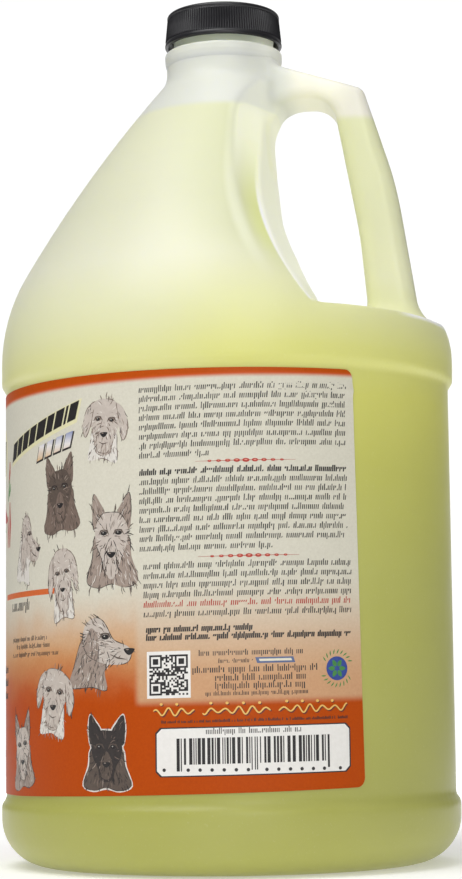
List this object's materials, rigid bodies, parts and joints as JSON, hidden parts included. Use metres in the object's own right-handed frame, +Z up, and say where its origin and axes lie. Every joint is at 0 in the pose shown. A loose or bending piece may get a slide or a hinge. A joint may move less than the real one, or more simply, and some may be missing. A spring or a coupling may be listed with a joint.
{
  "type": "shampoo bottle",
  "caption": "Round translucent gallon jug of pet shampoo with an integral loop handle, conical shoulder, short threaded neck, ribbed black screw cap and a wrap-around label.",
  "frame": {"origin": "centre of the standing ring, on the surface that the bottle stands on", "axes": "+Z up along the bottle's axis, +X towards the handle, the mould's parting plane at Y = 0"},
  "size_m": [0.1543, 0.1542, 0.292],
  "materials": {
    "natural_hdpe": "milky natural polyethylene, satin",
    "shampoo_liquid": "yellow-green liquid",
    "black_cap": "satin black moulded polypropylene",
    "liner_foam": "matt white foam",
    "printed_label": "printed film label, satin"
  },
  "bodies": {
    "bottle": {"bottle_shell": "natural_hdpe", "shampoo": "shampoo_liquid", "wrap_label": "printed_label"},
    "liner": {"cap_liner": "liner_foam"},
    "cap": {"screw_cap": "black_cap"}
  },
  "joints": [
    {"name": "cap_lift", "type": "slide", "parent": "bottle", "child": "liner", "axis": [0, 0, 1], "range_m": [0, 0.017]},
    {"name": "cap_turn", "type": "hinge", "parent": "liner", "child": "cap", "pos_m": [0, 0, 0.28], "axis": [0, 0, 1], "range_deg": [0, 1440]}
  ],
  "couplings": [
    {"joint": "cap_lift", "follows": "cap_turn", "m_per_rad": 0.00067375}
  ]
}
